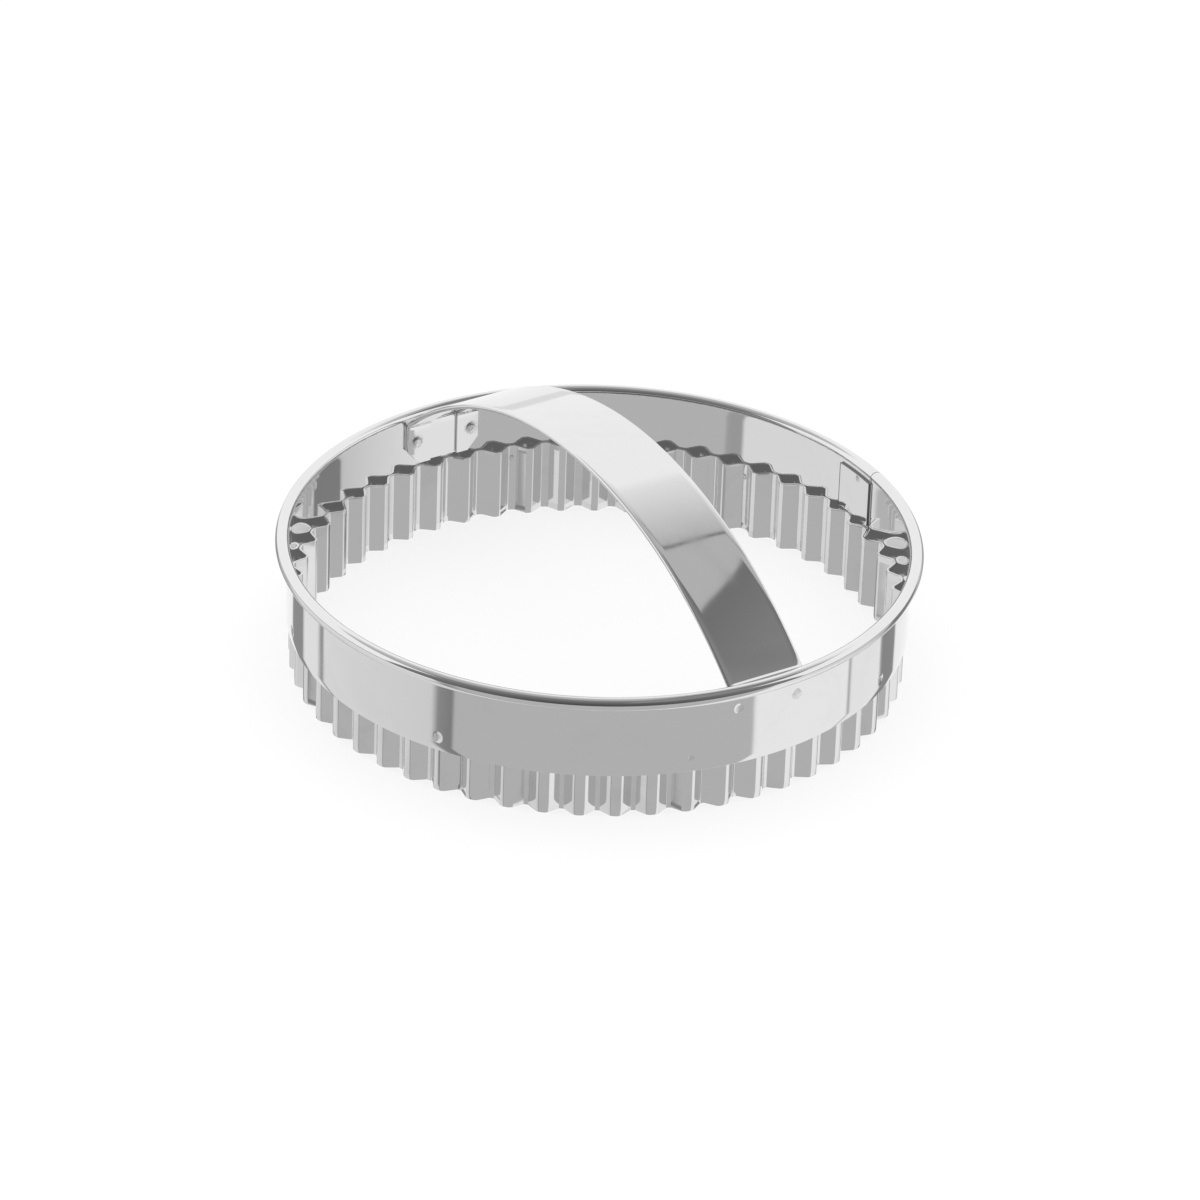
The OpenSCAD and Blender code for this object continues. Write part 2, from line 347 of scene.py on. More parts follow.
# painted shade: a dark line along a crease or a cut edge on the inside of the ring, where shade falls in the
# gap
def paintedShadeLineGroup():
    group, entry, leave = newGroup(
        "paintedShadeLine",
        [("Color", "NodeSocketColor", None), ("Roughness", "NodeSocketFloat", 0.1),
         ("Across", "NodeSocketVector", (0, 0, 1)), ("Offset", "NodeSocketFloat", 0.0),
         ("Width", "NodeSocketFloat", 0.0002), ("Toward", "NodeSocketVector", (0, 1, 0)),
         ("Inside", "NodeSocketFloat", 0.0526), ("Painted Shade", "NodeSocketColor", (0.1, 0.1, 0.1, 1))],
        [("Color", "NodeSocketColor"), ("Roughness", "NodeSocketFloat")])
    links = group.links
    place = addNode(group, "ShaderNodeTexCoord").outputs["Object"]
    across = vectorCalc(group, "DOT_PRODUCT", place, entry.outputs["Across"])
    distance = calc(group, "ABSOLUTE", calc(group, "SUBTRACT", across, entry.outputs["Offset"]))
    share = calc(group, "DIVIDE", distance, entry.outputs["Width"])
    near = calc(group, "SUBTRACT", 1.0, rise(group, share, 0.5, 1.0))
    flat = vectorCalc(group, "MULTIPLY", place, (1, 1, 0))
    radius = vectorCalc(group, "LENGTH", flat)
    inside = calc(group, "LESS_THAN", radius, entry.outputs["Inside"])
    toward = vectorCalc(group, "DOT_PRODUCT", place, entry.outputs["Toward"])
    ahead = calc(group, "GREATER_THAN", toward, 0.0)
    mask = calc(group, "MULTIPLY", near, calc(group, "MULTIPLY", inside, ahead))
    tone = addNode(group, "ShaderNodeMix", {"data_type": "RGBA"})
    links.new(mask, tone.inputs["Factor"])
    links.new(entry.outputs["Color"], tone.inputs[6])
    links.new(entry.outputs["Painted Shade"], tone.inputs[7])
    links.new(tone.outputs[2], leave.inputs["Color"])
    links.new(calc(group, "MAXIMUM", entry.outputs["Roughness"], calc(group, "MULTIPLY", mask, 0.4)),
              leave.inputs["Roughness"])
    return group


heatMarks = heatMarkGroup()
paintedShadeLine = paintedShadeLineGroup()
paintedGlow = 0.03               # a faint painted glow that every metal gives off, standing in for the light that reaches even the deepest gaps


# darkens the colour along each line in turn: painted shade
def addPaintedShadeLines(tree, shader, finish, lines):
    color, rough = finish.outputs["Color"], finish.outputs["Roughness"]
    for line in lines:
        made = placeGroup(tree, paintedShadeLine, line)
        tree.links.new(color, made.inputs["Color"])
        tree.links.new(rough, made.inputs["Roughness"])
        color, rough = made.outputs["Color"], made.outputs["Roughness"]
    tree.links.new(color, shader.inputs["Base Color"])
    tree.links.new(rough, shader.inputs["Roughness"])


def addHeatMarks(tree, shader, finish, bump, grain, marks):
    stain = placeGroup(tree, heatMarks, marks)
    tree.links.new(finish.outputs["Color"], stain.inputs["Color"])
    tree.links.new(finish.outputs["Roughness"], stain.inputs["Roughness"])
    tree.links.new(grain.outputs["Height"], stain.inputs["Height"])
    tree.links.new(stain.outputs["Color"], shader.inputs["Base Color"])
    tree.links.new(stain.outputs["Roughness"], shader.inputs["Roughness"])
    tree.links.new(stain.outputs["Height"], bump.inputs["Height"])


def metalMaterial(name, look):
    material = bpy.data.materials.new(name)
    material.use_nodes = True
    tree = material.node_tree
    shader = tree.nodes["Principled BSDF"]
    shader.inputs["Metallic"].default_value = 1.0
    place = addNode(tree, "ShaderNodeTexCoord")
    along = addNode(tree, "ShaderNodeMapping")
    along.inputs["Scale"].default_value = look["grainStretch"]
    tree.links.new(place.outputs["Object"], along.inputs["Vector"])
    grain = placeGroup(tree, rolledGrain, look["grain"])
    tree.links.new(along.outputs["Vector"], grain.inputs["Vector"])
    finish = placeGroup(tree, smears, look["smears"])
    tree.links.new(grain.outputs["Grain"], finish.inputs["Grain"])
    tree.links.new(finish.outputs["Color"], shader.inputs["Base Color"])
    tree.links.new(finish.outputs["Roughness"], shader.inputs["Roughness"])
    bump = addNode(tree, "ShaderNodeBump", Strength=1.0, Distance=look["bumpHeight"] * mm)
    tree.links.new(grain.outputs["Height"], bump.inputs["Height"])
    tree.links.new(bump.outputs["Normal"], shader.inputs["Normal"])
    # painted glow: the metal emits a faint white light of its own
    shader.inputs["Emission Color"].default_value = (1, 1, 1, 1)
    shader.inputs["Emission Strength"].default_value = paintedGlow
    if "marks" in look:
        addHeatMarks(tree, shader, finish, bump, grain, look["marks"])
    # painted shade: dark lines along creases and cut edges
    if "paintedShadeLines" in look:
        addPaintedShadeLines(tree, shader, finish, look["paintedShadeLines"])
    return material


bandGrain = (1, 1, 60)          # fine across the band's height, long round the ring
strapGrain = (1, 60, 1)         # fine across the strap, long down its length


# painted shade along a line that runs up the ring's inner wall at one turn
def uprightPaintedShadeLine(turn, width, inside):
    turn = math.radians(turn)
    return {"Across": (-math.sin(turn), math.cos(turn), 0), "Toward": (math.cos(turn), math.sin(turn), 0),
            "Width": width, "Inside": inside}


print("shader groups made")

# where the spot welds lie: turn round the ring, height, and diameter of the mark
pitch = 360 / fluteCount
firstCrest = -1.7
handleWelds = {"gap": 11.2, "belowRim": 5.0, "size": 1.6}
bandWelds = {"count": 8, "firstCrest": -2, "height": 10.5, "size": 1.2}
seamWeld = {"turn": 88.99, "height": 20.85, "size": 1.2}
flutedSeamWelds = {"crest": 13, "heights": (2.6, 6.5), "size": 1.2}

handleWeldTurn = math.degrees(math.asin(handleWelds["gap"] / 2 / wallOut))
handleWeldHeight = rimTop - handleWelds["belowRim"]
handleWeldPlaces = [
    (end + side * handleWeldTurn, handleWeldHeight) for end in (0, 180) for side in (-1, 1)]
bandWeldPlaces = [
    (firstCrest + round(bandWelds["firstCrest"] + i * fluteCount / bandWelds["count"]) * pitch,
     bandWelds["height"]) for i in range(bandWelds["count"])]


def placeOnRing(turn, radius, height):
    turn = math.radians(turn)
    return Vector((radius * math.cos(turn), radius * math.sin(turn), height))


# the electrode's dimple, pressed into the collar's outer face
dimple = {
    "depth": 0.12, "reach": 1.5, "steepness": 1.35, "denser": 2, "patch": 1.5, "wallWithin": 0.02,
}


def wallPatch(bm, centre, distance):
    near = [vert for vert in bm.verts if (vert.co - centre).length < distance]
    return [vert for vert in near if abs(vert.co.xy.length - wallOut) < dimple["wallWithin"]]


def pressDimple(bm, turn, height, size):
    centre = placeOnRing(turn, wallOut, height)
    reach = dimple["reach"] * size / 2
    for _ in range(dimple["denser"]):
        near = set(wallPatch(bm, centre, reach + dimple["patch"]))
        edges = [edge for edge in bm.edges if edge.verts[0] in near and edge.verts[1] in near]
        bmesh.ops.subdivide_edges(bm, edges=edges, cuts=1, use_grid_fill=True)
    for vert in wallPatch(bm, centre, reach + dimple["patch"]):
        pushOut(vert, wallOut - vert.co.xy.length)
        away = (vert.co - centre).length / reach
        if away < 1:
            pushOut(vert, -dimple["depth"] * smoothStep(dimple["steepness"] * (1 - away)))


# the collar: an upright wall whose top curls outward into the rim
collar = {
    "rimTube": 2.4, "curl": 300, "curlSteps": 40, "wallRows": 14, "ringSteps": 640,
    "seam": 85.5, "seamGap": 0.163,
    "flapTop": 0.6, "flapBottom": 13.3, "flapEnd": 94.8, "flapRoot": 83.9, "flapStep": (84.72, 85.12),
    "flapSteps": 120, "flapRows": 8, "flapSlack": 0.01,
}
rimRadius = collar["rimTube"] / 2
rimHeight = rimTop - rimRadius
flapTopHeight = rimHeight - collar["flapTop"]

collarLook = {
    "grainStretch": bandGrain, "bumpHeight": 0.06,
    # painted shade lines: dark lines in the seam's crease and along the flap's cut edges, where shade falls
    "paintedShadeLines": [uprightPaintedShadeLine(84.95, 0.00018, 0.0526),     # the seam's crease
              uprightPaintedShadeLine(94.72, 0.00014, 0.05252),    # the flap's end, then its top edge
              {"Across": upAxis, "Offset": (flapTopHeight - 0.01) * mm, "Width": 0.00008,
               "Inside": 0.05252, "Painted Shade": (0.2, 0.2, 0.2, 1)}],
    "grain": {"Lines": 60.0, "Line Depth": 0.004, "Waves": 55.0, "Wave Depth": 1.0},
    "smears": {"Size": 70.0, "Amount": 0.35, "Clean Roughness": 0.035, "Smeared Roughness": 0.11,
               "Clean": (0.80, 0.80, 0.805, 1), "Smeared": (0.74, 0.74, 0.745, 1)},
}
collarMetal = metalMaterial("collarMetal", collarLook)


def collarOutline(bm):
    rimMiddle = wallIn + rimRadius
    bottom = collarLow.z / mm
    edgeRound = sheet["edgeRound"]
    pen = startPen(bm, wallIn, bottom + edgeRound)
    pen = lineTo(bm, pen, wallIn, rimHeight, collar["wallRows"])
    pen = arcAbout(bm, pen, rimMiddle, rimHeight, -collar["curl"], collar["curlSteps"])
    inward = (Vector((rimMiddle, 0, rimHeight)) - pen.co).normalized() * sheet["thick"]
    pen = lineTo(bm, pen, pen.co.x + inward.x, pen.co.z + inward.z)
    pen = arcAbout(bm, pen, rimMiddle, rimHeight, collar["curl"], collar["curlSteps"])
    pen = lineTo(bm, pen, wallOut, bottom + edgeRound, collar["wallRows"])
    pen = roundEdge(bm, pen, wallOut - edgeRound, bottom + edgeRound)
    pen = lineTo(bm, pen, wallIn + edgeRound, bottom)
    roundEdge(bm, pen, wallIn + edgeRound, bottom + edgeRound)
    closeOutline(bm)


def flapOutline(bm):
    slack = collar["flapSlack"]
    outer = wallIn - sheet["play"] - slack
    inner = outer - sheet["thick"] + 2 * slack
    top = flapTopHeight
    bottom = collar["flapBottom"]
    edgeRound = sheet["edgeRound"]
    pen = startPen(bm, inner, bottom + edgeRound)
    pen = lineTo(bm, pen, inner, top - edgeRound, collar["flapRows"])
    pen = roundEdge(bm, pen, inner + edgeRound, top - edgeRound)
    pen = lineTo(bm, pen, outer - edgeRound, top)
    pen = roundEdge(bm, pen, outer - edgeRound, top - edgeRound)
    pen = lineTo(bm, pen, outer, bottom + edgeRound, collar["flapRows"])
    pen = roundEdge(bm, pen, outer - edgeRound, bottom + edgeRound)
    pen = lineTo(bm, pen, inner + edgeRound, bottom)
    roundEdge(bm, pen, inner + edgeRound, bottom + edgeRound)
    closeOutline(bm)


def revolveOutline(draw, fromTurn, degrees, steps):
    bm = bmesh.new()
    draw(bm)
    turnRound(bm, fromTurn)
    first = bm.verts[:] + bm.edges[:]
    firstEdges = bm.edges[:]
    last = sweep(bm, first, ringCentre, upAxis, degrees, steps)
    capEnd(bm, firstEdges)
    capEnd(bm, last)
    return bm


def joinMesh(bm, other):
    carrier = bpy.data.meshes.new("carrier")
    other.to_mesh(carrier)
    other.free()
    bm.from_mesh(carrier)
    bpy.data.meshes.remove(carrier)


def makeCollar():
    bm = revolveOutline(collarOutline, collar["seam"], 360 - collar["seamGap"], collar["ringSteps"])
    for turn, height in handleWeldPlaces:
        pressDimple(bm, turn, height, handleWelds["size"])
    for turn, height in bandWeldPlaces:
        pressDimple(bm, turn, height, bandWelds["size"])
    pressDimple(bm, seamWeld["turn"], seamWeld["height"], seamWeld["size"])
    flapTurn = collar["flapEnd"] - collar["flapRoot"]
    flap = revolveOutline(flapOutline, collar["flapRoot"], flapTurn, collar["flapSteps"])
    low, high = collar["flapStep"]
    for vert in flap.verts:
        still = 1 - smoothStep((turnOf(vert) - low) / (high - low))
        pushOut(vert, still * (sheet["thick"] + sheet["play"]))
    joinMesh(bm, flap)
    finishPiece(bm, "collar", collarMetal, ["collar_band"])


makeCollar()

# the fluted band: bends and straight sides drawn flat, then wrapped round the ring
flutes = {
    "lapped": 1, "seam": 13, "depth": 1.8, "crest": 0.4, "ridge": 0.5, "crestBend": 1.2,
    "ridgeBend": 0.5, "bendSteps": 8, "rows": 10, "rimAngle": 60,
}
fluteMiddle = crestRadius - sheet["thick"] / 2
pitchLength = 2 * math.pi * fluteMiddle / fluteCount

flutedLook = {
    "grainStretch": bandGrain, "bumpHeight": 0.05,
    "grain": {"Lines": 60.0, "Line Depth": 0.006, "Waves": 90.0, "Wave Depth": 1.0},
    "smears": {"Size": 110.0, "Amount": 0.5, "Clean Roughness": 0.05, "Smeared Roughness": 0.15,
               "Clean": (0.79, 0.79, 0.795, 1), "Smeared": (0.70, 0.70, 0.705, 1)},
}
flutedMetal = metalMaterial("flutedMetal", flutedLook)


# how steeply the straight side leans, in radians: it touches the bends at the crest and at the ridge
def fluteSlope():
    bends = flutes["crestBend"] + flutes["ridgeBend"]
    along = (pitchLength - flutes["crest"] - flutes["ridge"]) / 2
    drop = flutes["depth"] - bends
    side = math.sqrt(along ** 2 + drop ** 2 - bends ** 2)
    return math.atan2(drop, along) + math.atan2(bends, side)


def drawFlute(bm, pen, middle, inset):
    slope = fluteSlope()
    lean = math.degrees(slope)
    steps = flutes["bendSteps"]
    out = sheet["thick"] / 2 - inset
    crest = flutes["crest"] / 2
    left = middle - (pitchLength - flutes["ridge"]) / 2
    right = middle + (pitchLength - flutes["ridge"]) / 2
    crestLow = -flutes["crestBend"]
    ridgeLow = flutes["ridgeBend"] - flutes["depth"]
    crestBend = flutes["crestBend"] + out
    ridgeBend = flutes["ridgeBend"] - out
    if pen is None:
        pen = startPen(bm, left, out - flutes["depth"])
    else:
        pen = lineTo(bm, pen, left, out - flutes["depth"])
    pen = arcAbout(bm, pen, left, ridgeLow, lean, steps)
    sideX = middle - crest - crestBend * math.sin(slope)
    pen = lineTo(bm, pen, sideX, crestLow + crestBend * math.cos(slope))
    pen = arcAbout(bm, pen, middle - crest, crestLow, -lean, steps)
    pen = lineTo(bm, pen, middle + crest, out)
    pen = arcAbout(bm, pen, middle + crest, crestLow, -lean, steps)
    sideX = right - ridgeBend * math.sin(slope)
    pen = lineTo(bm, pen, sideX, ridgeLow - ridgeBend * math.cos(slope))
    return arcAbout(bm, pen, right, ridgeLow, lean, steps)


# the last side before the seam steps inward, so that the strip's end laps inside its start
def stepInward(bm):
    lastCrest = (flutes["seam"] + fluteCount - 1) * pitchLength
    start = lastCrest + flutes["crest"] / 2
    end = lastCrest + (pitchLength - flutes["ridge"]) / 2
    for vert in bm.verts:
        if start < vert.co.x < end + tiny:
            share = (vert.co.x - start) / (end - start)
            vert.co.z -= share * (sheet["thick"] + sheet["play"])


def makeFluted():
    bm = bmesh.new()
    height = flutedHigh.z / mm
    pen = None
    for number in range(fluteCount + flutes["lapped"]):
        inset = sheet["thick"] + sheet["play"] if number >= fluteCount else 0
        pen = drawFlute(bm, pen, (flutes["seam"] + number) * pitchLength, inset)
    closeOutline(bm)
    stepInward(bm)
    for vert in bm.verts:
        turn = firstCrest + math.degrees(vert.co.x / fluteMiddle)
        vert.co = placeOnRing(turn, fluteMiddle + vert.co.z, 0)
    pullEdges(bm, bm.edges[:], height, flutes["rows"])
    bmesh.ops.recalc_face_normals(bm, faces=bm.faces[:])
    inward = sum(face.normal.dot(face.calc_center_median()) for face in bm.faces) < 0
    if inward:
        bmesh.ops.reverse_faces(bm, faces=bm.faces[:])
    bmesh.ops.solidify(bm, geom=bm.faces[:], thickness=sheet["thick"])
    rimAngle = math.radians(flutes["rimAngle"])
    rims = [edge for edge in bm.edges if edge.calc_face_angle(0) > rimAngle]
    bmesh.ops.bevel(
        bm, geom=rims, offset=sheet["edgeRound"], offset_type="OFFSET", segments=2, profile=0.5,
        affect="EDGES", material=-1)
    finishPiece(bm, "flutedBand", flutedMetal, ["fluted_band"])


makeFluted()

# the handle: a strap with both edges hemmed under, arched over the ring
strap = {
    "width": 14.6, "hem": 4.6, "hemGap": 0.1, "bend": 2.5, "belowRim": 2.6, "clearOfFlutes": 1.0,
    "cornerWide": 2.4, "cornerHigh": 2.7, "archSteps": 90, "bendSteps": 14, "tabRows": 5,
    "rowsAcross": 16, "hemRows": 3, "foldSteps": 12, "slitSteps": 6, "openMiddle": 1,
    "dish": 0.11, "dishFrom": (22, 27), "dishTo": (38.5, 41.5),
}
strapLook = {
    "grainStretch": strapGrain, "bumpHeight": 0.05,
    "grain": {"Lines": 60.0, "Line Depth": 0.004, "Waves": 60.0, "Wave Depth": 1.0},
    "smears": {"Size": 80.0, "Amount": 0.4, "Clean Roughness": 0.035, "Smeared Roughness": 0.12,
               "Clean": (0.80, 0.80, 0.805, 1), "Smeared": (0.74, 0.74, 0.745, 1)},
    "marks": {"Place": (0.0515, 0.0056, 0.0184), "Reach": 0.0017, "Stain": (0.42, 0.42, 0.42, 1),
              "Rough": 0.38},
}
strapMetal = metalMaterial("strapMetal", strapLook)


def strapOutline(bm):
    thick = sheet["thick"]
    whole = 2 * thick + strap["hemGap"]
    fold = whole / 2
    foldAt = strap["width"] / 2 - fold
    hemEnd = strap["width"] / 2 - strap["hem"]
    slit = strap["hemGap"] / 2
    rows = strap["hemRows"]
    pen = startPen(bm, -hemEnd, -whole)
    pen = lineTo(bm, pen, -foldAt, -whole, rows)
    pen = arcAbout(bm, pen, -foldAt, -fold, -180, strap["foldSteps"])
    pen = lineTo(bm, pen, foldAt, 0, strap["rowsAcross"])
    pen = arcAbout(bm, pen, foldAt, -fold, -180, strap["foldSteps"])
    pen = lineTo(bm, pen, hemEnd, -whole, rows)
    pen = lineTo(bm, pen, hemEnd, -slit - fold)
    pen = lineTo(bm, pen, foldAt, -slit - fold, rows)
    pen = arcAbout(bm, pen, foldAt, -fold, 180, strap["slitSteps"])
    pen = lineTo(bm, pen, -foldAt, slit - fold, strap["rowsAcross"])
    pen = arcAbout(bm, pen, -foldAt, -fold, 180, strap["slitSteps"])
    pen = lineTo(bm, pen, -hemEnd, -slit - fold, rows)
    lineTo(bm, pen, -hemEnd, -whole)
    closeOutline(bm)


# rolling has dished the strap a little above its near end, which bends what it mirrors
def dishStrap(bm, centre):
    begin, full = strap["dishFrom"]
    fade, end = strap["dishTo"]
    for vert in bm.verts:
        spoke = Vector((vert.co.x, 0, vert.co.z - centre.z))
        turn = math.degrees(math.atan2(spoke.x, spoke.z))
        if begin < turn < end:
            share = smoothStep((turn - begin) / (full - begin)) - smoothStep((turn - fade) / (end - fade))
            across = 2 * vert.co.y / strap["width"]
            vert.co -= spoke.normalized() * strap["dish"] * share * (1 - across ** 2)


def makeStrap():
    bm = bmesh.new()
    strapOutline(bm)
    top = strapHigh.z / mm
    fold = sheet["thick"] + strap["hemGap"] / 2
    tabOut = math.sqrt(wallIn ** 2 - (strap["width"] / 2 - fold) ** 2) - sheet["play"]
    tabTop = rimTop - strap["belowRim"]
    tabBase = flutedHigh.z / mm + strap["clearOfFlutes"]
    reach = tabOut - strap["bend"]
    archHalf = 2 * math.degrees(math.atan((top - tabTop - strap["bend"]) / reach))
    archRadius = reach / math.sin(math.radians(archHalf)) + strap["bend"]
    archCentre = Vector((0, 0, top - archRadius))
    turnRound(bm, 90)
    bmesh.ops.translate(bm, verts=bm.verts[:], vec=(0, 0, top))
    last = sweep(bm, bm.verts[:] + bm.edges[:], archCentre, (0, 1, 0), archHalf, strap["archSteps"])
    last = sweep(bm, last, (reach, 0, tabTop), (0, 1, 0), 90 - archHalf, strap["bendSteps"])
    capEnd(bm, pullEdges(bm, onlyEdges(last), tabBase - tabTop, strap["tabRows"]))
    for side in (-1, 1):    # the tab's corners are cut, and the middle stays open for the mirror
        corner = Vector((0, side * (strap["width"] / 2 - strap["cornerWide"]), tabBase))
        facing = Vector((0, side * strap["cornerHigh"], -strap["cornerWide"]))
        bmesh.ops.bisect_plane(
            bm, geom=bm.verts[:] + bm.edges[:] + bm.faces[:], dist=0.0001, plane_co=corner,
            plane_no=facing, clear_outer=True)
        openEdges = [edge for edge in bm.edges if len(edge.link_faces) == 1]
        cut = [edge for edge in openEdges if edge.verts[0].co.x > strap["openMiddle"]]
        bmesh.ops.holes_fill(bm, edges=cut, sides=0)
    bmesh.ops.mirror(
        bm, geom=bm.verts[:] + bm.edges[:] + bm.faces[:], axis="X", merge_dist=tiny)
    dishStrap(bm, archCentre)
    finishPiece(bm, "handleStrap", strapMetal, ["handle_strap"])


makeStrap()

# spot welds: each mark is a little button, dished by the electrode outside and proud inside
weld = {
    "proud": 0.1, "sunk": 0.115, "shoulder": 0.055, "crown": 0.02, "slack": 0.01, "around": 32,
    "crater": 0.45, "slope": 0.75, "sharp": 60,
}
weldLook = {
    "grainStretch": (12, 12, 12), "bumpHeight": 0.03,
    "grain": {"Lines": 160.0, "Line Depth": 0.9, "Waves": 900.0, "Wave Depth": 0.6},
    "smears": {"Size": 900.0, "Amount": 0.8, "Clean Roughness": 0.16, "Smeared Roughness": 0.4,
               "Clean": (0.74, 0.74, 0.745, 1), "Smeared": (0.5, 0.5, 0.5, 1)},
}
weldMetal = metalMaterial("weldMetal", weldLook)


def drawWeld(bm, size, inner, outer):
    radius = size / 2 - weld["slack"]
    crater = weld["crater"] * radius
    slope = weld["slope"] * radius
    pen = startPen(bm, 0, outer)
    pen = lineTo(bm, pen, crater, outer + 0.1 * weld["shoulder"], 2)
    pen = lineTo(bm, pen, slope, outer + 0.5 * weld["shoulder"], 2)
    pen = lineTo(bm, pen, radius, outer + weld["shoulder"], 2)
    pen = lineTo(bm, pen, radius, inner + weld["proud"] + weld["slack"])
    pen = lineTo(bm, pen, slope, inner + 0.4 * weld["proud"], 2)
    pen = lineTo(bm, pen, crater, inner, 2)
    lineTo(bm, pen, 0, inner + 2 * weld["crown"], 2)
    bmesh.ops.spin(
        bm, geom=bm.verts[:] + bm.edges[:], cent=ringCentre, axis=upAxis, angle=2 * math.pi,
        steps=weld["around"], use_merge=True)


def makeWelds(name, nodeName, places, size, inner, outer):
    bm = bmesh.new()
    for turn, height in places:
        one = bmesh.new()
        drawWeld(one, size, inner, outer)
        bmesh.ops.remove_doubles(one, verts=one.verts[:], dist=sameSpot)
        lay = Matrix.Rotation(math.radians(turn), 3, "Z") @ Matrix.Rotation(math.pi / 2, 3, "Y")
        bmesh.ops.rotate(one, verts=one.verts[:], cent=ringCentre, matrix=lay)
        bmesh.ops.translate(one, verts=one.verts[:], vec=(0, 0, height))
        joinMesh(bm, one)
    finishPiece(bm, name, weldMetal, [nodeName], weld["sharp"])


tabFace = strapHigh.x / mm - 2 * sheet["thick"] - strap["hemGap"]
makeWelds("handleWeldMarks", "handle_spot_welds", handleWeldPlaces, handleWelds["size"],
          tabFace - weld["proud"], wallOut - weld["sunk"])
makeWelds("bandWeldMarks", "band_spot_welds", bandWeldPlaces, bandWelds["size"],
          crestRadius - sheet["thick"] - weld["proud"], wallOut - weld["sunk"])
makeWelds("collarSeamWeldMark", "collar_seam_welds", [(seamWeld["turn"], seamWeld["height"])],
          seamWeld["size"], wallIn - sheet["play"] - sheet["thick"] - weld["proud"],
          wallOut - weld["sunk"])
makeWelds("flutedSeamWeldMarks", "fluted_seam_welds",
          [(firstCrest + flutedSeamWelds["crest"] * pitch, z) for z in flutedSeamWelds["heights"]],
          flutedSeamWelds["size"], crestRadius - 2 * sheet["thick"] - sheet["play"] - weld["proud"],
          crestRadius - weld["slack"])

# the camera stands where the photograph's did, and its focal length is in the photo's pixels
view = {
    "photo": 1200, "focal": 7000, "sensor": 36, "distance": 1191, "turn": -33,
    "elevation": 29.96, "roll": 2.017, "aim": (0.23, 0.35, 10.8),
}


def makeCamera():
    turn = math.radians(view["turn"])
    lift = math.radians(view["elevation"])
    roll = math.radians(view["roll"])
    outward = Vector((math.cos(lift) * math.cos(turn), math.cos(lift) * math.sin(turn), math.sin(lift)))
    right = Vector((-math.sin(turn), math.cos(turn), 0))
    up = outward.cross(right)
    rolledRight = math.cos(roll) * right + math.sin(roll) * up
    rolledUp = math.cos(roll) * up - math.sin(roll) * right
    data = bpy.data.cameras.new("camera")
    data.sensor_width = view["sensor"]
    data.lens = view["focal"] * view["sensor"] / view["photo"]
    camera = bpy.data.objects.new("camera", data)
    bpy.context.scene.collection.objects.link(camera)
    turned = Matrix((rolledRight, rolledUp, outward)).transposed().to_4x4()
    place = (Vector(view["aim"]) + view["distance"] * outward) * mm
    camera.matrix_world = Matrix.Translation(place) @ turned
    bpy.context.scene.camera = camera


makeCamera()

# the studio: a white floor, and surroundings whose panels and gaps only the metal sees.
# They are given by direction: azimuth from the camera's side, positive to the right, and height as
# the sine of the elevation.
studio = {
    "floorSize": 3.0, "floorDrop": 0.0002, "floorTone": 0.3, "floorLift": 0.75,
    "steep": [  # azimuth, tone: panels well below the table, mirrored by the ring's near side
        (-180, 0.95), (-153.5, 0.95), (-152, 0.27), (-138.5, 0.27), (-137.5, 0.85), (-124, 0.85),
        (-123.4, 0.3), (-120.6, 0.3), (-120, 0.8), (-62, 0.7), (-59, 0.25), (-52.6, 0.2),
        (-52.1, 0.5), (61, 0.5), (62, 0.95), (107.2, 0.95), (107.6, 0.35), (109.3, 0.35),
        (109.7, 0.9), (130, 0.9), (131, 0.25), (144, 0.25), (145, 0.95), (180, 0.95)],
    "shallow": [  # the same a little higher, mirrored by its far side
        (-180, 0.95), (-158, 0.95), (-152, 0.3), (-141, 0.3), (-139, 0.5), (-127, 0.5),
        (-124.5, 0.8), (-54.3, 0.8), (-53.8, 0.35), (-47.9, 0.35), (-47.3, 0.5), (61, 0.5),
        (62, 0.9), (115.2, 0.6), (116, 0.2), (136.6, 0.2), (137.6, 0.55), (145, 0.55),
        (149, 0.35), (160, 0.35), (163, 0.95), (180, 0.95)],
    "split": (-0.4985, -0.4955),
    "ceiling": [  # towards the camera, tone: a bright panel that fades into a dim room
        (-0.74, 1.0), (-0.47, 0.55), (0, 0.42), (0.1, 0.25), (1, 0.05)],
    "overhead": [  # along a slanting line above the handle's far end, tone
        (-0.69, 1.0), (-0.518, 0.5),    # the same bright panel
        (-0.515, 0.1), (-0.51, 0.1),    # the gap at its end
        (-0.507, 0.5), (-0.412, 0.5),   # a grey panel
        (-0.409, 0.15), (-0.2, 0.25)],  # the dim room beyond it
    "overheadTurn": -30, "overheadSide": (0.12, 0.2),
    "panelTop": 0.72, "topBlur": 0.02, "panelSide": 0.3, "sideBlur": 0.03,
    "horizonGap": (-0.03, 0.05), "gapBlur": 0.01, "gapShare": (0.55, 0.25),
}


def blendTones(tree, factor, low, high):
    made = addNode(tree, "ShaderNodeMix", {"data_type": "FLOAT"})
    tie(tree, factor, made.inputs[0])
    tie(tree, low, made.inputs[2])
    tie(tree, high, made.inputs[3])
    return made.outputs[0]


def toneRamp(tree, value, stops, low, high):
    share = addNode(tree, "ShaderNodeMapRange")
    share.inputs["From Min"].default_value = low
    share.inputs["From Max"].default_value = high
    tree.links.new(value, share.inputs["Value"])
    ramp = addNode(tree, "ShaderNodeValToRGB")
    tree.links.new(share.outputs["Result"], ramp.inputs["Fac"])
    elements = ramp.color_ramp.elements
    while len(elements) < len(stops):
        elements.new(0.5)
    for element, (place, tone) in zip(elements, stops):
        element.position = (place - low) / (high - low)
        element.color = (tone, tone, tone, 1)
    return ramp.outputs["Color"]


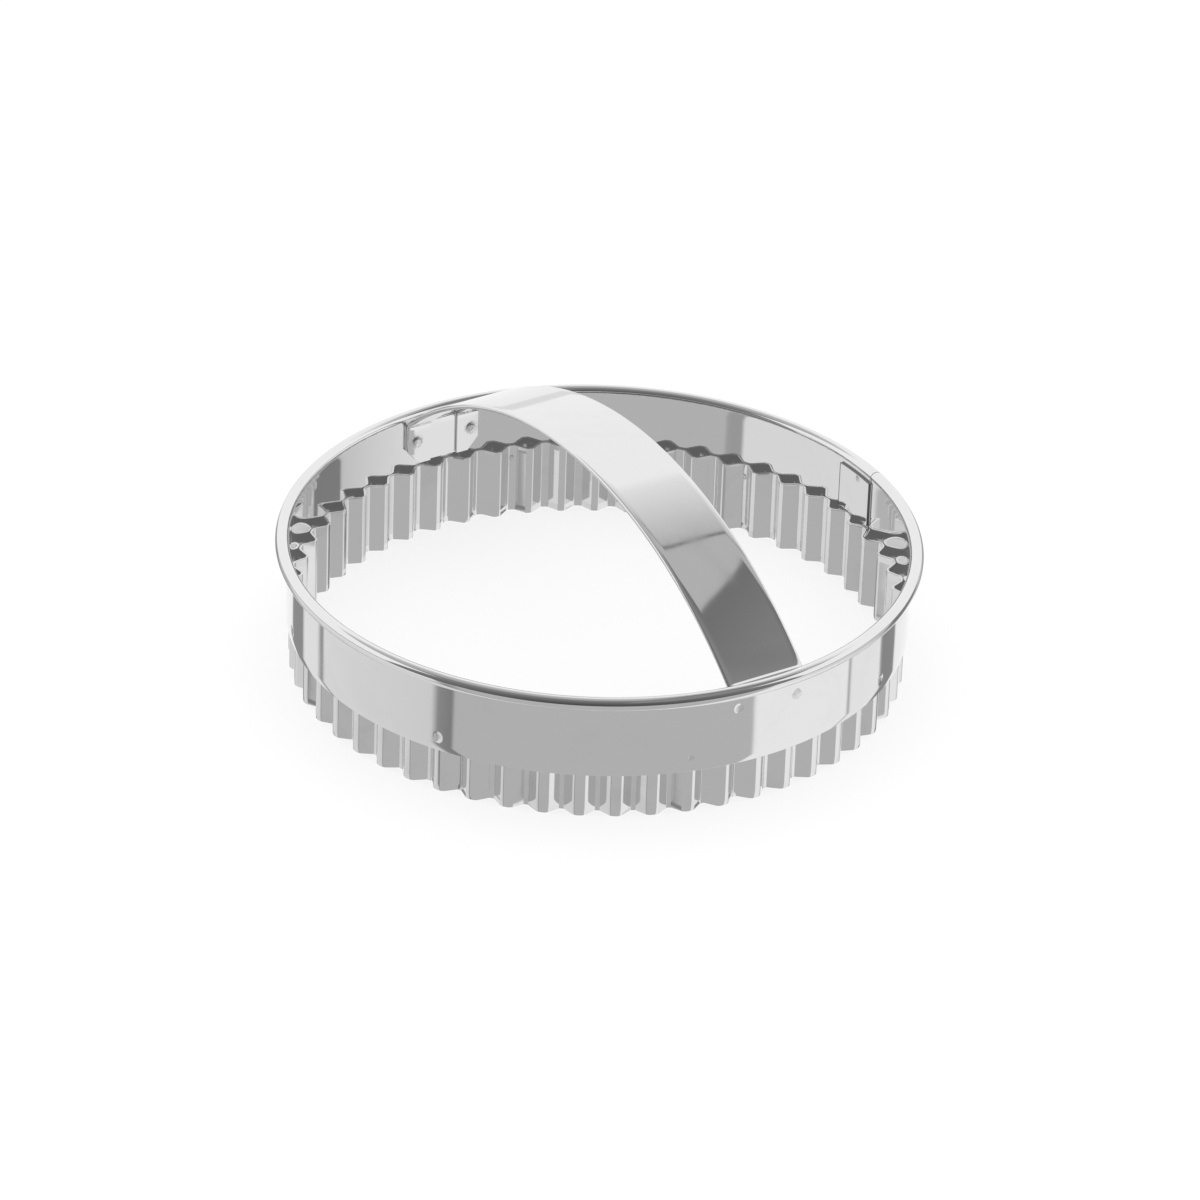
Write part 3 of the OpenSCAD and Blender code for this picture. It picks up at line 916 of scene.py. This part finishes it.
def makeFloor():
    bm = bmesh.new()
    bmesh.ops.create_grid(bm, x_segments=1, y_segments=1, size=studio["floorSize"] / 2)
    bmesh.ops.translate(bm, verts=bm.verts[:], vec=(0, 0, -studio["floorDrop"]))
    mesh = bpy.data.meshes.new("floor")
    bm.to_mesh(mesh)
    bm.free()
    material = bpy.data.materials.new("floorPaper")
    material.use_nodes = True
    shader = material.node_tree.nodes["Principled BSDF"]
    shader.inputs["Base Color"].default_value = (studio["floorTone"],) * 3 + (1,)
    shader.inputs["Roughness"].default_value = 1.0
    shader.inputs["Specular IOR Level"].default_value = 0.0
    shader.inputs["Emission Color"].default_value = (1, 1, 1, 1)
    shader.inputs["Emission Strength"].default_value = studio["floorLift"]
    mesh.materials.append(material)
    floor = bpy.data.objects.new("floor", mesh)
    floor.visible_glossy = False
    bpy.context.scene.collection.objects.link(floor)


def makeWorld():
    world = bpy.data.worlds.new("studio")
    bpy.context.scene.world = world
    world.use_nodes = True
    tree = world.node_tree
    turn = math.radians(view["turn"])
    towardCamera = (math.cos(turn), math.sin(turn), 0)
    towardRight = (-math.sin(turn), math.cos(turn), 0)
    direction = addNode(tree, "ShaderNodeTexCoord").outputs["Generated"]
    near = vectorCalc(tree, "DOT_PRODUCT", direction, towardCamera)
    right = vectorCalc(tree, "DOT_PRODUCT", direction, towardRight)
    height = vectorCalc(tree, "DOT_PRODUCT", direction, upAxis)
    azimuth = calc(tree, "ARCTAN2", right, near)
    degrees = calc(tree, "MULTIPLY", azimuth, 180 / math.pi)
    steep = toneRamp(tree, degrees, studio["steep"], -180, 180)
    shallow = toneRamp(tree, degrees, studio["shallow"], -180, 180)
    table = blendTones(tree, rise(tree, height, *studio["split"]), steep, shallow)
    ceiling = toneRamp(tree, near, studio["ceiling"], -1, 1)
    slant = math.radians(studio["overheadTurn"])
    along = calc(tree, "ADD", calc(tree, "MULTIPLY", near, math.cos(slant)),
                 calc(tree, "MULTIPLY", right, math.sin(slant)))
    overhead = toneRamp(tree, along, studio["overhead"], -0.75, 0)
    top, blur = studio["panelTop"], studio["topBlur"]
    overPanel = rise(tree, height, top - blur, top + blur)
    overHandle = calc(tree, "MULTIPLY", overPanel, rise(tree, right, *studio["overheadSide"]))
    side, blur = studio["panelSide"], studio["sideBlur"]
    beyond = calc(tree, "SUBTRACT", 1.0, rise(tree, near, side - blur, side + blur))
    inPanel = calc(tree, "MULTIPLY", beyond, calc(tree, "SUBTRACT", 1.0, overPanel))
    above = blendTones(tree, inPanel, blendTones(tree, overHandle, ceiling, overhead), 1.0)
    gapLow, gapHigh = studio["horizonGap"]
    blur = studio["gapBlur"]
    middle, change = studio["gapShare"]
    share = calc(tree, "SUBTRACT", middle, calc(tree, "MULTIPLY", near, change))
    gap = calc(tree, "MULTIPLY", ceiling, share)
    lower = blendTones(tree, rise(tree, height, gapLow - blur, gapLow), table, gap)
    tone = blendTones(tree, rise(tree, height, gapHigh - blur, gapHigh), lower, above)
    rays = addNode(tree, "ShaderNodeLightPath")
    seen = blendTones(tree, rays.outputs["Is Glossy Ray"], 1.0, tone)
    background = tree.nodes["Background"]
    tree.links.new(seen, background.inputs["Color"])
    background.inputs["Strength"].default_value = 1.0


makeFloor()
makeWorld()
bpy.context.scene.view_settings.view_transform = "Standard"
print("studio made")
